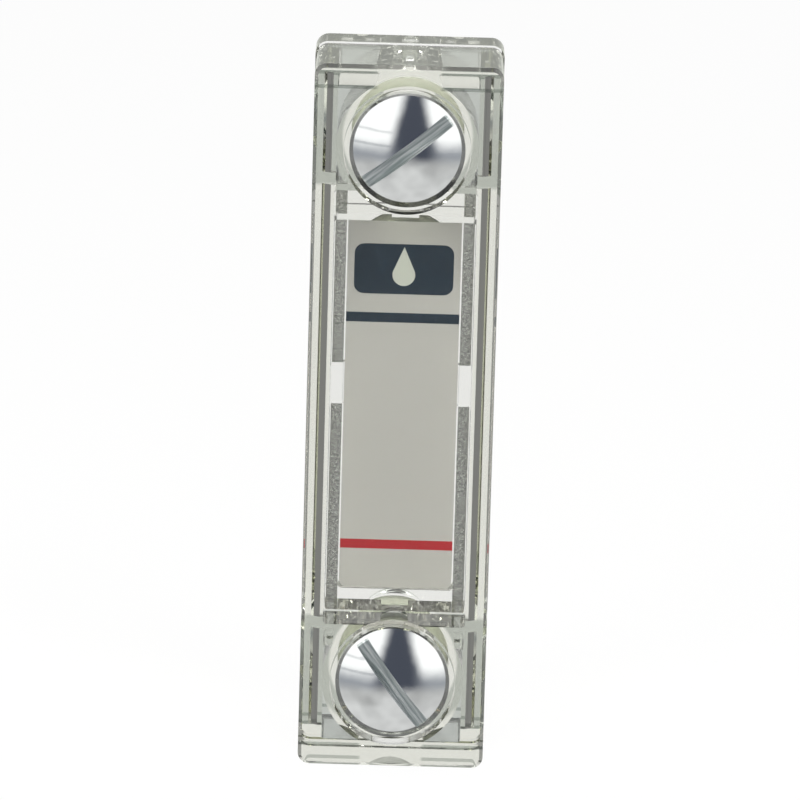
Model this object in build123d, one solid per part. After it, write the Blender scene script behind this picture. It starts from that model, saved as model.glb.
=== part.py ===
# Tank level gauge for a hydraulic tank, with a clear polyamide body between two hollow screws.
#
# The front cover and the base are two clear mouldings, welded face to face. Between them lies the
# fluid channel. A banjo screw passes through a boss at each end and clamps the gauge to the tank:
# fluid comes in through the screw's axial hole, out of its cross holes into the chamber round its
# neck, and through a passage in the boss to the channel. Each screw has a ring seal under its head
# and another between the base and the tank. A printed aluminium screen lies in a slot on the back
# of the base, behind the channel, held by two moulded tabs.
#
# Frame: X to the right and Z up, seen from the front. Y points into the tank, so the front faces -Y.
# The origin is on the tank face, midway between the screws. Heights are measured from the tank face
# towards the front, so a height h lies at y = -h. All lengths are in millimetres.
from build123d import *
import os

# Body outline
body_width = 26.0
body_length = 100.0
body_depth = 23.0
corner_radius = 1.6
front_bevel = 0.5
screw_spacing = 76.0

# Base moulding
base_thickness = 6.5
flange_overhang = 0.2
base_edge_bevel = 0.35
weld_gap = 0.05
plinth_height = 1.0
plinth_clearance = 0.15

# Cavities of the front cover
side_wall = 3.0
end_wall = 3.0
front_wall = 3.0
rib_thickness = 1.7
rib_position = 32.0
channel_half_length = 28.1
channel_mouth_height = 13.6
outer_weld_bevel = 0.35
inner_weld_bevel = 1.25
weld_ledge = 0.5
cavity_corner_radius = 0.6
draft_angle = 1.0
boss_radius = 9.9

# Screw passage through both mouldings
head_recess_radius = 8.8
head_recess_depth = 3.1
bore_radius = 5.4
chamber_radius = 7.0
chamber_top = 13.5
passage_width = 3.8
passage_top = 16.4
spigot_height = 1.0
spigot_clearance = 0.1

# Seals
head_seal_seat_radius = 7.5
head_seal_seat_depth = 1.6
tank_seal_groove_radius = 8.0
tank_seal_groove_depth = 1.9
tank_seal_section = 2.3
seal_gap = 0.04

# Screws
head_radius = 8.0
head_rim_height = 1.9
head_rim_bevel = 0.25
dome_rise = 2.2
head_seat_gap = 0.05
slot_width = 1.9
slot_depth = 1.7
upper_slot_angle = 38.4
lower_slot_angle = -53.1
guide_radius = 5.2
head_guide_length = 3.4
rear_guide_bottom = 2.4
rear_guide_top = 6.0
neck_radius = 4.3
relief_radius = 4.1
thread_radius = 5.0
thread_start = 0.45
screw_projection = 15.0
thread_bevel = 0.8
thread_pitch = 1.5
thread_depth = 0.85
groove_half_width = 0.55
first_groove = 1.95
groove_count = 8
fluid_hole_radius = 2.1
fluid_hole_end = 11.5
cross_hole_radius = 1.75
cross_hole_height = 9.2

# Screen and its slot on the back of the base
screen_width = 16.0
screen_length = 54.0
screen_drop = 1.65
screen_thickness = 0.8
screen_top_radius = 0.4
screen_foot_radius = 1.2
screen_clearance = 0.2
screen_gap = 0.05
slot_floor = 3.3
land_height = 2.3
land_width = 1.6
land_reach = 30.7
tab_length = 6.0
tab_lift = 1.0
tab_overhang = 0.4
tab_bottom = 1.0

# Derived sizes
screw_axes = (screw_spacing / 2, -screw_spacing / 2)
inner_width = body_width - 2 * side_wall
cavity_top = body_depth - front_wall
cover_bottom = base_thickness + weld_gap
recess_floor = body_depth - head_recess_depth
head_underside = recess_floor + head_seat_gap
seat_floor = recess_floor - head_seal_seat_depth
pocket_start = rib_position + rib_thickness / 2
mouth_half_length = rib_position - rib_thickness / 2
pocket_end = body_length / 2 - end_wall
hole_length = screen_length + 2 * screen_clearance
hole_width = screen_width + 2 * screen_clearance


def level(height):
    """The plane at this height in front of the tank face; its x is X and its y is Z."""
    return Plane.XZ.offset(height)


def slab(profile, bottom, top, taper=0):
    """A face-on profile extruded towards the front, from one height to another."""
    return extrude(level(bottom) * profile, amount=top - bottom, taper=taper)


def at_screws(profile):
    """The profile repeated on both screw axes."""
    return [Pos(0, z) * profile for z in screw_axes]


def slabs(profiles, bottom, top, taper=0):
    return [slab(profile, bottom, top, taper) for profile in profiles]


def pockets(start, end):
    """A cored-out space across each end of the cover, from one distance off the middle to another."""
    profile = RectangleRounded(inner_width, end - start, cavity_corner_radius)
    return [Pos(0, sign * (start + end) / 2) * profile for sign in (1, -1)]


def fluid_passages(bottom, top):
    """A slot through each boss wall, from the chamber round the screw to the channel."""
    length = boss_radius + 1
    profile = Rectangle(passage_width, length)
    return [
        slab(Pos(0, z - (1 if z > 0 else -1) * length / 2) * profile, bottom, top)
        for z in screw_axes
    ]


def channel_mouth():
    """The rear half of the channel, longer than the front half and open to both screw chambers."""
    profile = RectangleRounded(inner_width, 2 * mouth_half_length, cavity_corner_radius)
    return slab(profile, cover_bottom, channel_mouth_height)


def weld_bevels():
    """The 45 degree bevels round the inner edges of the openings, which leave a narrow weld land."""
    bevels = []
    ends = [Pos(0, s * (pocket_start + pocket_end) / 2) for s in (1, -1)]
    spans = [(Pos(0, 0), 2 * mouth_half_length), *[(end, pocket_end - pocket_start) for end in ends]]
    for place, length in spans:
        narrow = Rectangle(inner_width + 2 * weld_ledge, length)
        wide = Rectangle(inner_width + 2 * (weld_ledge + inner_weld_bevel), length)
        bevel = loft(
            [
                level(cover_bottom) * place * wide,
                level(cover_bottom + inner_weld_bevel) * place * narrow,
            ]
        )
        bevels.append(bevel)
    bosses = slabs(at_screws(Circle(boss_radius)), cover_bottom, body_depth)
    middle, *others = bevels
    return [middle, *[bevel - bosses for bevel in others]]


def front_cover():
    outline = RectangleRounded(body_width, body_length, corner_radius)
    block = slab(outline, cover_bottom, body_depth)
    front_face = block.faces().sort_by(Axis.Y)[0]
    block = chamfer(front_face.edges(), front_bevel)
    block = chamfer(block.faces().sort_by(Axis.Y)[-1].edges(), outer_weld_bevel)

    channel = RectangleRounded(inner_width, 2 * channel_half_length, cavity_corner_radius)
    openings = [channel, *pockets(pocket_start, pocket_end)]
    cavities = slabs(openings, cover_bottom, cavity_top, draft_angle)
    bosses = slabs(at_screws(Circle(boss_radius)), cover_bottom, body_depth)
    cover = block - [cavity - bosses for cavity in cavities]
    cover -= channel_mouth()
    cover -= weld_bevels()

    cover -= slabs(at_screws(Circle(head_recess_radius)), recess_floor, body_depth)
    cover -= slabs(at_screws(Circle(head_seal_seat_radius)), seat_floor, recess_floor)
    cover -= slabs(at_screws(Circle(bore_radius)), cover_bottom, seat_floor)
    cover -= slabs(at_screws(Circle(chamber_radius)), cover_bottom, chamber_top)
    cover -= fluid_passages(cover_bottom, passage_top)
    return cover


def screen_slot():
    """The slot in the back of the base: as deep as the screen, with a shallower land on each side."""
    fitted = RectangleRounded(hole_width, hole_length, screen_top_radius + screen_clearance)
    land = Rectangle(land_width, 2 * land_reach)
    middle = (hole_width + land_width) / 2
    lands = [Pos(sign * middle, 0) * land for sign in (1, -1)]
    return [slab(Pos(0, -screen_drop) * fitted, 0, slot_floor), *slabs(lands, 0, land_height)]


def screen_tabs():
    """The two tabs halfway up the slot, which reach over the screen's long edges."""
    width = screen_clearance + tab_overhang + land_width
    middle = screen_width / 2 - tab_overhang + width / 2
    profile = Rectangle(width, tab_length)
    return slabs(
        [Pos(sign * middle, tab_lift) * profile for sign in (1, -1)],
        tab_bottom,
        land_height,
    )


def base():
    outline = RectangleRounded(
        body_width + 2 * flange_overhang,
        body_length + 2 * flange_overhang,
        corner_radius + flange_overhang,
    )
    plate = slab(outline, 0, base_thickness)
    plate = chamfer(plate.faces().sort_by(Axis.Y)[-1].edges(), base_edge_bevel)

    plinth_width = inner_width - 2 * plinth_clearance
    plinth_length = 2 * (channel_half_length - plinth_clearance)
    plinth = slab(
        RectangleRounded(plinth_width, plinth_length, cavity_corner_radius),
        base_thickness,
        base_thickness + plinth_height,
    )
    spigots = slabs(
        at_screws(Circle(chamber_radius - spigot_clearance)),
        base_thickness,
        base_thickness + spigot_height,
    )
    moulding = plate + plinth + spigots
    moulding -= slabs(at_screws(Circle(bore_radius)), 0, base_thickness + spigot_height)
    moulding -= slabs(at_screws(Circle(tank_seal_groove_radius)), 0, tank_seal_groove_depth)
    moulding -= screen_slot()
    return moulding + screen_tabs()


def contrast_screen():
    top = slot_floor - screen_gap
    outline = Pos(0, -screen_drop) * Rectangle(screen_width, screen_length)
    plate = slab(outline, top - screen_thickness, top)
    corners = plate.edges().filter_by(Axis.Y).group_by(Axis.Z)
    plate = fillet(corners[0], screen_foot_radius)
    corners = plate.edges().filter_by(Axis.Y).group_by(Axis.Z)
    return fillet(corners[-1], screen_top_radius)


def thread_grooves():
    """The stem's line through the thread, which is drawn as plain rings at its pitch."""
    points = []
    for i in range(groove_count):
        height = -(first_groove + thread_pitch * i)
        points.append((thread_radius, height + groove_half_width))
        points.append((thread_radius - thread_depth, height))
        points.append((thread_radius, height - groove_half_width))
    return points


def screw(z, slot_angle):
    """A hollow banjo screw with a slotted dome head, turned about the screw axis."""
    rim_top = head_underside + head_rim_height
    dome_top = rim_top + dome_rise
    guide_end = head_underside - head_guide_length
    stem = [
        (head_radius, head_underside + head_rim_bevel),
        (head_radius - head_rim_bevel, head_underside),
        (guide_radius, head_underside),
        (guide_radius, guide_end),
        (neck_radius, guide_end - (guide_radius - neck_radius)),
        (neck_radius, rear_guide_top),
        (guide_radius, rear_guide_top),
        (guide_radius, rear_guide_bottom),
        (relief_radius, rear_guide_bottom),
        (relief_radius, -thread_start + (thread_radius - relief_radius)),
        (thread_radius, -thread_start),
        *thread_grooves(),
        (thread_radius, -screw_projection + thread_bevel),
        (thread_radius - thread_bevel, -screw_projection),
        (0, -screw_projection),
        (0, dome_top),
    ]
    dome_radius = (head_radius**2 + dome_rise**2) / (2 * dome_rise)
    side_line = Polyline([(radius, -height) for radius, height in [(head_radius, rim_top), *stem]])
    halfway = head_radius / 2
    halfway_height = dome_top - dome_radius + (dome_radius**2 - halfway**2) ** 0.5
    dome_line = ThreePointArc((0, -dome_top), (halfway, -halfway_height), (head_radius, -rim_top))
    turned = revolve(make_face([side_line, dome_line]), Axis.Y)

    hole_tip = fluid_hole_end + fluid_hole_radius * 0.6
    hole_line = Polyline(
        (0, screw_projection),
        (fluid_hole_radius, screw_projection),
        (fluid_hole_radius, -fluid_hole_end),
        (0, -hole_tip),
        close=True,
    )
    fluid_hole = revolve(make_face(hole_line), Axis.Y)
    cross_hole = Cylinder(cross_hole_radius, 2 * guide_radius)
    cross_holes = [
        Pos(0, -cross_hole_height, 0) * cross_hole,
        Pos(0, -cross_hole_height, 0) * Rot(0, 90, 0) * cross_hole,
    ]
    slot_cutter = slab(
        Rectangle(3 * head_radius, slot_width), dome_top - slot_depth, dome_top + dome_rise
    )
    turned -= [fluid_hole, *cross_holes, Rot(0, -slot_angle, 0) * slot_cutter]
    return Pos(0, 0, z) * turned


def head_seal(z):
    """The ring under a screw head, squeezed between its seat and the head."""
    ring_middle = (guide_radius + head_seal_seat_radius) / 2
    half_width = (head_seal_seat_radius - guide_radius) / 2 - 2 * seal_gap
    half_height = (head_underside - seat_floor) / 2 - seal_gap
    centre_height = (head_underside + seat_floor) / 2
    section = Pos(ring_middle, -centre_height) * Ellipse(half_width, half_height)
    return Pos(0, 0, z) * revolve(section, Axis.Y)


def tank_seal(z):
    """The ring between the base and the tank, standing proud of its groove before it is squeezed."""
    section_radius = tank_seal_section / 2
    centre_height = tank_seal_groove_depth - seal_gap - section_radius
    ring_middle = tank_seal_groove_radius - 3 * seal_gap - section_radius
    section = Pos(ring_middle, -centre_height) * Circle(section_radius)
    return Pos(0, 0, z) * revolve(section, Axis.Y)


upper, lower = screw_axes
parts = {
    "front_cover": front_cover(),
    "base": base(),
    "contrast_screen": contrast_screen(),
    "upper_screw": screw(upper, upper_slot_angle),
    "lower_screw": screw(lower, lower_slot_angle),
    "upper_head_seal": head_seal(upper),
    "lower_head_seal": head_seal(lower),
    "upper_tank_seal": tank_seal(upper),
    "lower_tank_seal": tank_seal(lower),
}

os.makedirs("parts", exist_ok=True)
for name, solid in parts.items():
    solid.label = name
    export_step(solid, f"parts/{name}.step")
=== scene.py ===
"""Looks of a clear column level gauge for a hydraulic tank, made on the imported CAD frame.

The frame's units are metres and the front faces -Y. Lengths here are in millimetres, times MM.
"""
import math

import bmesh
import bpy
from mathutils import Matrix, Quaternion, Vector


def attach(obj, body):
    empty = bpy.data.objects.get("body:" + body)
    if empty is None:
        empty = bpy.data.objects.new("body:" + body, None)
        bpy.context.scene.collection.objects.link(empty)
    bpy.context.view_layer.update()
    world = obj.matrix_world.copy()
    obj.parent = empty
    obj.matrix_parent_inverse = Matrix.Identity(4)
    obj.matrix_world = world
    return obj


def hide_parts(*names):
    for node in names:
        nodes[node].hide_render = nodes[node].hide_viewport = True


MM = 0.001

# Sizes shared with the solids
BODY_DEPTH = 23.0
SCREW_REACH = 38.0
SCREW_Z = {"upper_screw": SCREW_REACH, "lower_screw": -SCREW_REACH}
SLOT_ANGLE = {"upper_screw": 38.4, "lower_screw": -53.1}
SLOT_WIDTH = 1.9
SLOT_FLOOR = 22.35
THREAD_RADIUS = 5.0
THREAD_START = 0.45
THREAD_END = 14.2
THREAD_PITCH = 1.5
THREAD_DEPTH = 0.92
SCREEN_FRONT = 3.25
SCREEN_HALF_WIDTH = 8.0
LAND_HEIGHT = 2.3
LAND_MIDDLE = 9.0
LAND_HALF_WIDTH = 0.82
WELD_FACE = 6.5
PLINTH_TOP = 7.5
HEAD_RECESS_RADIUS = 8.8
END_WALL = 46.9
FLOOR_Z = -50.2

# Shape of the thread, in turns from the middle of a ridge, and how it runs out at its ends
ROOT_FLAT = 0.12
FLANK = 0.76
LEAD_IN = 1.0
LEAD_OUT = 0.5
THREAD_FACETS = 72
THREAD_STEPS = 110
STEM_INSIDE = 3.0

# Places and sizes of the print
UPPER_BAND = (10.8, 1.4)
LOWER_BAND = (-22.2, 1.35)
BADGE = {"x": 0, "z": 17.8, "width": 14.0, "height": 7.2, "radius": 1.4}
DROP = {"x": 0, "z": 17.0, "radius": 1.6, "tip": 4.0}
BAND_MARGIN = 0.02
PRINT_LIFT = 0.015
DROP_LIFT = 0.025

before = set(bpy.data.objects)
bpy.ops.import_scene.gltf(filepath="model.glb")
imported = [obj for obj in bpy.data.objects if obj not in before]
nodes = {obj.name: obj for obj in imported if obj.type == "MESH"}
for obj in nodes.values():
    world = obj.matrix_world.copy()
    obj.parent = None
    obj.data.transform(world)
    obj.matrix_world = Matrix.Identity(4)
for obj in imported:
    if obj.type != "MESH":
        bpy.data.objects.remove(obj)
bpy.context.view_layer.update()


# ---------------------------------------------------------------- node helpers
def colour(code):
    """A hex sRGB colour as linear RGBA."""
    parts = [int(code[i : i + 2], 16) / 255 for i in (1, 3, 5)]
    linear = [c / 12.92 if c <= 0.04045 else ((c + 0.055) / 1.055) ** 2.4 for c in parts]
    return (*linear, 1.0)


def grey(level):
    return (level, level, level, 1.0)


def new_material(name):
    material = bpy.data.materials.new(name)
    material.use_nodes = True
    tree = material.node_tree
    tree.nodes.clear()
    return material, tree


def add(tree, kind, values=None, **settings):
    """Adds one node. Values are constants or sockets, by input name or number."""
    node = tree.nodes.new(kind)
    for key, value in settings.items():
        setattr(node, key, value)
    for key, value in (values or {}).items():
        if isinstance(value, bpy.types.NodeSocket):
            tree.links.new(value, node.inputs[key])
        else:
            node.inputs[key].default_value = value
    return node


def blend(tree, share, low, high):
    """A colour between two, by its share of the second."""
    values = {0: share, 6: low, 7: high}
    return add(tree, "ShaderNodeMix", values, data_type="RGBA").outputs[2]


def maths(tree, operation, a, b=0.0, c=0.0, clamp=False):
    node = add(tree, "ShaderNodeMath", {0: a, 1: b, 2: c}, operation=operation, use_clamp=clamp)
    return node.outputs[0]


def ramp(tree, value, low, high, at_low=0.0, at_high=1.0):
    """A smooth step of the value from one level to another."""
    values = {0: value, 1: low, 2: high, 3: at_low, 4: at_high}
    return add(tree, "ShaderNodeMapRange", values, interpolation_type="SMOOTHSTEP").outputs[0]


def product(tree, shares):
    whole = shares[0]
    for share in shares[1:]:
        whole = maths(tree, "MULTIPLY", whole, share)
    return whole


def object_xyz(tree):
    """Object coordinates in millimetres."""
    place = add(tree, "ShaderNodeTexCoord").outputs["Object"]
    scaled = add(tree, "ShaderNodeVectorMath", {0: place, "Scale": 1 / MM}, operation="SCALE")
    return scaled.outputs[0], add(tree, "ShaderNodeSeparateXYZ", {0: scaled.outputs[0]}).outputs


# ---------------------------------------------------------------- materials
# Mask of the faces beside the screws and the end walls' inner faces, which get painted shade and a
# duller finish
def painted_shade_end_faces(tree, across, y, z):
    """Beside the screws: the base's own faces there, and the inner faces of the end walls."""
    height = maths(tree, "SUBTRACT", maths(tree, "ABSOLUTE", z), SCREW_REACH)
    place = add(tree, "ShaderNodeCombineXYZ", {0: across, 1: height}).outputs[0]
    out = add(tree, "ShaderNodeVectorMath", {0: place}, operation="LENGTH").outputs["Value"]
    shares = [
        maths(
            tree,
            "MAXIMUM",
            maths(tree, "COMPARE", y, -WELD_FACE, 0.03),
            maths(tree, "COMPARE", y, -PLINTH_TOP, 0.03),
        ),
        ramp(tree, out, HEAD_RECESS_RADIUS, HEAD_RECESS_RADIUS + 0.5),
        ramp(tree, height, -7.4, -6.6),
        ramp(tree, height, 8.7, 9.3, 1.0, 0.0),
    ]
    wall = maths(tree, "COMPARE", maths(tree, "ABSOLUTE", z), END_WALL, 0.25)
    either = maths(tree, "MAXIMUM", product(tree, shares), wall)
    return maths(tree, "MULTIPLY", either, ramp(tree, across, 4.1, 4.7))


def clear_polyamide():
    """Injection moulded clear polyamide: glass clear and faintly yellow-green where it is thick.

    The ledges beside the screen are grainy, drawn coarser than they are so that it shows. The
    faces beside the screws are a little dull and painted grey: painted shade for the dark reflections
    there.
    """
    material, tree = new_material("clear_polyamide")
    vector, (x, y, z) = object_xyz(tree)
    across = maths(tree, "ABSOLUTE", x)
    dull_and_painted_shade = painted_shade_end_faces(tree, across, y, z)
    ledge = maths(tree, "COMPARE", y, -LAND_HEIGHT, 0.03)
    beside = maths(tree, "COMPARE", across, LAND_MIDDLE, LAND_HALF_WIDTH)
    mask = maths(tree, "MULTIPLY", ledge, beside)
    grain = add(
        tree, "ShaderNodeTexNoise", {"Vector": vector, "Scale": 2.6, "Detail": 3.0, "Roughness": 0.75}
    ).outputs[0]
    bump = add(
        tree, "ShaderNodeBump", {"Strength": mask, "Distance": 0.55 * MM, "Height": grain}
    ).outputs[0]
    speckle = blend(tree, ramp(tree, grain, 0.40, 0.60), colour("#7B7E79"), colour("#D6D9D3"))
    # Painted shade: a grey base colour on the masked faces, standing in for the dark reflections
    # there
    tone = blend(tree, dull_and_painted_shade, blend(tree, mask, grey(1.0), speckle), colour("#A6ACA8"))
    rough = maths(tree, "MAXIMUM", mask, maths(tree, "MULTIPLY", dull_and_painted_shade, 0.7))
    body = add(
        tree,
        "ShaderNodeBsdfPrincipled",
        {
            "Base Color": tone,
            "Roughness": ramp(tree, rough, 0.0, 1.0, 0.015, 0.14),
            "IOR": 1.53,
            "Transmission Weight": 1.0,
            "Normal": bump,
        },
    ).outputs[0]
    light_path = add(tree, "ShaderNodeLightPath").outputs
    through = add(tree, "ShaderNodeBsdfTransparent", {"Color": colour("#FAFBF8")}).outputs[0]
    mix = add(
        tree, "ShaderNodeMixShader", {0: light_path["Is Shadow Ray"], 1: body, 2: through}
    ).outputs[0]
    tint = add(
        tree, "ShaderNodeVolumeAbsorption", {"Color": (0.45, 0.47, 0.22, 1.0), "Density": 15.0}
    ).outputs[0]
    add(tree, "ShaderNodeOutputMaterial", {"Surface": mix, "Volume": tint})
    return material


def zinc_plated_steel(name, z_axis, angle):
    """Bright zinc plated steel: the turned head is polished and mirrors the studio, a little
    clouded by the plating, and the milled slot keeps the cutter's fine lines along it."""
    material, tree = new_material(name)
    vector, (x, y, z) = object_xyz(tree)
    turn = math.radians(angle)
    height = maths(tree, "SUBTRACT", z, z_axis)
    along = maths(
        tree,
        "ADD",
        maths(tree, "MULTIPLY", x, math.cos(turn)),
        maths(tree, "MULTIPLY", height, math.sin(turn)),
    )
    across = maths(
        tree,
        "SUBTRACT",
        maths(tree, "MULTIPLY", height, math.cos(turn)),
        maths(tree, "MULTIPLY", x, math.sin(turn)),
    )
    in_slot = maths(
        tree,
        "MULTIPLY",
        maths(tree, "LESS_THAN", maths(tree, "ABSOLUTE", across), SLOT_WIDTH / 2 - 0.02),
        maths(tree, "COMPARE", y, -SLOT_FLOOR, 0.12),
    )
    place = add(tree, "ShaderNodeCombineXYZ", {0: maths(tree, "MULTIPLY", along, 0.05), 1: across})
    lines = add(
        tree, "ShaderNodeTexNoise", {"Vector": place.outputs[0], "Scale": 2.4, "Detail": 4.0}
    ).outputs[0]
    mottle = add(
        tree, "ShaderNodeTexNoise", {"Vector": vector, "Scale": 0.5, "Detail": 5.0}
    ).outputs[0]
    clouds = maths(tree, "MULTIPLY", mottle, 0.4)
    ridges = maths(tree, "MULTIPLY", lines, 4.0)
    height_map = add(tree, "ShaderNodeMix", {0: in_slot, 2: clouds, 3: ridges}).outputs[0]
    bump = add(
        tree, "ShaderNodeBump", {"Strength": 0.5, "Distance": 0.04 * MM, "Height": height_map}
    ).outputs[0]
    streaks = blend(tree, ramp(tree, lines, 0.35, 0.65), colour("#AEB9B6"), colour("#F6FAF7"))
    tone = blend(tree, in_slot, colour("#DFE1E0"), streaks)
    body = add(
        tree,
        "ShaderNodeBsdfPrincipled",
        {
            "Base Color": tone,
            "Metallic": 1.0,
            "Roughness": ramp(tree, in_slot, 0.0, 1.0, 0.09, 0.38),
            "Normal": bump,
        },
    ).outputs[0]
    add(tree, "ShaderNodeOutputMaterial", {"Surface": body})
    return material


def plain(name, code, roughness, metallic=0.0):
    material, tree = new_material(name)
    body = add(
        tree,
        "ShaderNodeBsdfPrincipled",
        {"Base Color": colour(code), "Roughness": roughness, "Metallic": metallic},
    ).outputs[0]
    add(tree, "ShaderNodeOutputMaterial", {"Surface": body})
    return material


def give(piece, material):
    piece.data.materials.clear()
    piece.data.materials.append(material)


# ---------------------------------------------------------------- threaded screws
def thread_height(turn, along):
    """Radius of the thread's surface at an angle in turns and a distance along the screw."""
    phase = (along / THREAD_PITCH - turn) % 1.0
    flank = min(1.0, max(0.0, (abs(phase - 0.5) * 2 - ROOT_FLAT) / FLANK))
    fade = min(1.0, (along - THREAD_START) / LEAD_IN, (THREAD_END - along) / LEAD_OUT)
    return THREAD_RADIUS - THREAD_DEPTH * (1 - flank) * max(0.0, fade)


def stem_faces(mesh, z_axis):
    """The plain outer faces of the stem, between the ends of the thread."""
    return [
        face
        for face in mesh.faces
        if all(
            THREAD_START - 0.01 < v.co.y / MM < THREAD_END + 0.01
            and math.hypot(v.co.x, v.co.z - z_axis * MM) > STEM_INSIDE * MM
            for v in face.verts
        )
    ]


def thread_ring(mesh, z_axis, along):
    ring = []
    for k in range(THREAD_FACETS):
        radius = thread_height(k / THREAD_FACETS, along) * MM
        angle = 2 * math.pi * k / THREAD_FACETS
        place = (radius * math.cos(angle), along * MM, z_axis * MM + radius * math.sin(angle))
        ring.append(mesh.verts.new(place))
    return ring


def threaded(node):
    """A copy of the screw whose plain stem is swapped for a real helical thread."""
    z_axis = SCREW_Z[node]
    mesh = bmesh.new()
    mesh.from_mesh(nodes[node].data)
    bmesh.ops.delete(mesh, geom=stem_faces(mesh, z_axis), context="FACES")
    rings = [
        thread_ring(mesh, z_axis, THREAD_START + (THREAD_END - THREAD_START) * i / THREAD_STEPS)
        for i in range(THREAD_STEPS + 1)
    ]
    for low, high in zip(rings, rings[1:]):
        for k in range(THREAD_FACETS):
            n = (k + 1) % THREAD_FACETS
            face = mesh.faces.new((low[k], low[n], high[n], high[k]))
            face.smooth = True
    bmesh.ops.recalc_face_normals(mesh, faces=mesh.faces)
    data = bpy.data.meshes.new(node + "_threaded")
    mesh.to_mesh(data)
    mesh.free()
    piece = bpy.data.objects.new(node + "_threaded", data)
    bpy.context.scene.collection.objects.link(piece)
    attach(piece, "root")
    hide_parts(node)
    return piece


# ---------------------------------------------------------------- print on the screen
def printed(name, points, material, lift=PRINT_LIFT):
    """A flat printed field on the front of the screen, from (x, z) points in millimetres."""
    y = -(SCREEN_FRONT + lift) * MM
    data = bpy.data.meshes.new(name)
    data.from_pydata([(x * MM, y, z * MM) for x, z in points], [], [list(range(len(points)))])
    piece = bpy.data.objects.new(name, data)
    bpy.context.scene.collection.objects.link(piece)
    give(piece, material)
    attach(piece, "root")
    return piece


def band(z, height):
    """A level mark right across the screen."""
    edge, half = SCREEN_HALF_WIDTH - BAND_MARGIN, height / 2
    return [(-edge, z - half), (edge, z - half), (edge, z + half), (-edge, z + half)]


def rounded(x, z, width, height, radius, steps=10):
    """A rectangle with round corners."""
    points = []
    for quarter in range(4):
        cx = x + (width / 2 - radius) * (1 if quarter in (0, 3) else -1)
        cz = z + (height / 2 - radius) * (1 if quarter in (0, 1) else -1)
        for i in range(steps + 1):
            angle = math.radians(90 * quarter + 90 * i / steps)
            points.append((cx + radius * math.cos(angle), cz + radius * math.sin(angle)))
    return points


def drop(x, z, radius, tip, steps=40):
    """A drop: a round bottom whose sides run to a point at the top."""
    start = math.asin(radius / tip)
    points = [(x, z + tip)]
    for i in range(steps + 1):
        angle = math.pi - start + (math.pi + 2 * start) * i / steps
        points.append((x + radius * math.cos(angle), z + radius * math.sin(angle)))
    return points


# Plain finishes: moulded rubber and lacquer that dull what they mirror, and screen printed inks
clear = clear_polyamide()
silicone = plain("pale_silicone_rubber", "#BCBDB6", 0.45)
lacquer = plain("grey_lacquered_aluminium", "#BBB8BA", 0.42)
navy = plain("navy_ink", "#14283A", 0.4)
red = plain("red_ink", "#B01824", 0.4)
pale = plain("pale_ink", "#C9CBC8", 0.4)

for node in ("front_cover", "base"):
    give(nodes[node], clear)
give(nodes["contrast_screen"], lacquer)
for node in ("upper_head_seal", "lower_head_seal", "upper_tank_seal", "lower_tank_seal"):
    give(nodes[node], silicone)
    for face in nodes[node].data.polygons:
        face.use_smooth = True
for node, z_axis in SCREW_Z.items():
    steel = zinc_plated_steel("zinc_plated_steel_" + node.split("_")[0], z_axis, SLOT_ANGLE[node])
    give(nodes[node], steel)
    give(threaded(node), steel)

printed("print_upper_band", band(*UPPER_BAND), navy)
printed("print_lower_band", band(*LOWER_BAND), red)
printed("print_badge", rounded(**BADGE), navy)
printed("print_drop", drop(**DROP), pale, DROP_LIFT)


# ---------------------------------------------------------------- floor, light and camera
def layered(tree, layers, ground):
    """Colours laid over a ground one after the other, each by its own share."""
    shown = ground
    for share, tone in layers:
        shown = blend(tree, share, shown, tone)
    return shown


def bent_light(tree, x, y, z):
    """What a ray that has come through the clear body meets, by its direction.

    Straight on behind the gauge it is white. A bent ray meets the dimmer studio: a bright
    ceiling, dark walls left and right, a darker side that the gauge faces, and grey in between.
    """
    side = maths(tree, "ABSOLUTE", x)
    behind = ramp(tree, y, 0.86, 0.95)
    ceiling = maths(tree, "MULTIPLY", ramp(tree, z, 0.55, 0.85), 0.8)
    walls = ramp(tree, side, 0.35, 0.85, 0.42, 0.24)
    ground = ramp(tree, z, -0.35, -0.75, 1.0, 0.4)
    facing = ramp(tree, y, -0.6, -0.9, 1.0, 0.4)
    dim = product(tree, [walls, ground, facing])
    return maths(tree, "MAXIMUM", behind, maths(tree, "MAXIMUM", dim, ceiling))


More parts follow.
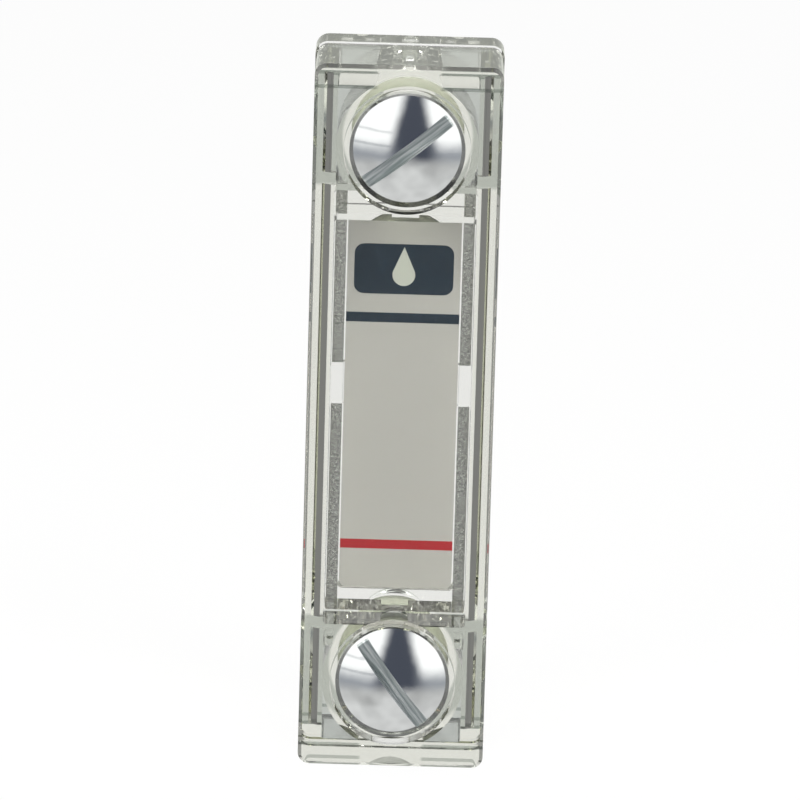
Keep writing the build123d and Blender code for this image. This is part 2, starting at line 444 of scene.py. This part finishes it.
def mirrored_light(tree, x, y, z):
    """What the polished heads mirror: two white panels, a dark gap between them that widens
    downwards, a grey skirting and a pale, cloudy table."""
    way = add(tree, "ShaderNodeCombineXYZ", {0: x, 1: y, 2: z}).outputs[0]
    cloud = add(
        tree, "ShaderNodeTexNoise", {"Vector": way, "Scale": 1.9, "Detail": 2.0, "Roughness": 0.55}
    ).outputs[0]
    wave = maths(tree, "SUBTRACT", cloud, 0.5)
    level = maths(tree, "MULTIPLY_ADD", wave, 0.16, z)
    side = maths(tree, "ABSOLUTE", maths(tree, "SUBTRACT", x, 0.10))
    gap = maths(tree, "MULTIPLY_ADD", z, -0.26, 0.36)
    uneven = maths(tree, "MULTIPLY_ADD", wave, 0.15, side)
    beyond = ramp(tree, maths(tree, "SUBTRACT", uneven, gap), -0.10, 0.10)
    panel = maths(tree, "MULTIPLY", beyond, ramp(tree, level, -0.28, 0.08))
    table = ramp(tree, level, -0.24, -0.46)
    pale = maths(tree, "MULTIPLY_ADD", wave, 1.1, 0.74, clamp=True)
    left = maths(tree, "MULTIPLY", ramp(tree, x, -0.22, -0.34), ramp(tree, y, 0.1, -0.1))
    layers = [
        (ramp(tree, side, 0.20, 0.55), (0.40, 0.42, 0.46, 1.0)),
        (panel, grey(1.4)),
        (table, add(tree, "ShaderNodeCombineColor", {0: pale, 1: pale, 2: pale}).outputs[0]),
        (ramp(tree, y, 0.2, 0.6), (0.74, 0.76, 0.70, 1.0)),
    ]
    tilted = maths(tree, "MULTIPLY_ADD", x, 0.06, z)
    for height, strength in ((0.14, 0.45), (-0.10, 0.6)):
        rail = maths(tree, "MULTIPLY", left, maths(tree, "COMPARE", tilted, height, 0.018))
        layers.append((maths(tree, "MULTIPLY", rail, strength), (0.25, 0.27, 0.31, 1.0)))
    return layered(tree, layers, (0.085, 0.095, 0.125, 1.0))


def by_ray(tree, camera, bent, mirrored, fill):
    """One of four colours, by the kind of ray. A ray bent by glass counts as glossy too."""
    path = add(tree, "ShaderNodeLightPath").outputs
    seen = fill
    for kind, shown in (("Glossy", mirrored), ("Transmission", bent), ("Camera", camera)):
        seen = blend(tree, path[f"Is {kind} Ray"], seen, shown)
    return seen


def studio_floor():
    """White to the camera, with a part of its shading kept for the soft shadow.

    Rays that the gauge bends or mirrors pass it by and meet the world's own white and grey.
    """
    bpy.ops.mesh.primitive_plane_add(size=6.0, location=(0, 0, FLOOR_Z * MM))
    floor = bpy.context.object
    floor.name = "studio_floor"
    material, tree = new_material("white_floor")
    seen = add(tree, "ShaderNodeLightPath").outputs["Is Camera Ray"]
    share = maths(tree, "MULTIPLY", seen, 0.92)
    shaded = add(tree, "ShaderNodeBsdfDiffuse", {"Color": colour("#E6E6E4")}).outputs[0]
    white = add(tree, "ShaderNodeEmission", {"Color": grey(1.02), "Strength": 1.0}).outputs[0]
    mix = add(tree, "ShaderNodeMixShader", {0: share, 1: shaded, 2: white}).outputs[0]
    add(tree, "ShaderNodeOutputMaterial", {"Surface": mix})
    give(floor, material)
    floor.visible_glossy = False
    floor.visible_transmission = False


def studio_world():
    """White behind the gauge, with other levels for bent rays, reflections and the soft fill."""
    world = bpy.data.worlds.new("studio")
    world.use_nodes = True
    bpy.context.scene.world = world
    tree = world.node_tree
    tree.nodes.clear()
    way = add(tree, "ShaderNodeTexCoord").outputs["Generated"]
    x, y, z = add(tree, "ShaderNodeSeparateXYZ", {0: way}).outputs
    shown = by_ray(
        tree, grey(1.0), bent_light(tree, x, y, z), mirrored_light(tree, x, y, z), grey(0.35)
    )
    light = add(tree, "ShaderNodeBackground", {"Color": shown, "Strength": 1.0}).outputs[0]
    add(tree, "ShaderNodeOutputWorld", {"Surface": light})


def softbox(name, place, target, width, height, power):
    data = bpy.data.lights.new(name, "AREA")
    data.shape = "RECTANGLE"
    data.size, data.size_y, data.energy = width * MM, height * MM, power
    lamp = bpy.data.objects.new(name, data)
    bpy.context.scene.collection.objects.link(lamp)
    lamp.location = Vector(place) * MM
    aim = Vector(target) * MM - lamp.location
    lamp.rotation_mode = "QUATERNION"
    lamp.rotation_quaternion = aim.to_track_quat("-Z", "Y")
    lamp.visible_glossy = False


def photo_camera():
    """Nearly square on, a little from above, with the gauge's top leaning right."""
    elevation, distance, roll = math.radians(13.5), 930 * MM, math.radians(1.64)
    data = bpy.data.cameras.new("camera")
    data.lens, data.sensor_width = 301.5, 36
    data.clip_start, data.clip_end = 0.01, 20
    data.shift_x, data.shift_y = 0.0004, 0.0260
    camera = bpy.data.objects.new("camera", data)
    bpy.context.scene.collection.objects.link(camera)
    back = Vector((0, -math.cos(elevation), math.sin(elevation)))
    camera.location = Vector((0, -BODY_DEPTH * MM, 0)) + back * distance
    facing = (-back).to_track_quat("-Z", "Y")
    camera.rotation_mode = "QUATERNION"
    camera.rotation_quaternion = facing @ Quaternion((0, 0, 1), roll)
    bpy.context.scene.camera = camera


studio_floor()
studio_world()
softbox("softbox_left", (-420, -620, 420), (0, -20, 0), 260, 420, 3.2)
softbox("softbox_right", (380, -560, 520), (0, -20, 0), 260, 420, 3.2)
softbox("softbox_top", (0, 60, 700), (0, -10, 0), 500, 300, 1.5)
photo_camera()

scene = bpy.context.scene
scene.view_settings.view_transform = "Standard"
scene.cycles.max_bounces = 32
scene.cycles.transmission_bounces = 32
scene.cycles.transparent_max_bounces = 32
scene.cycles.glossy_bounces = 12
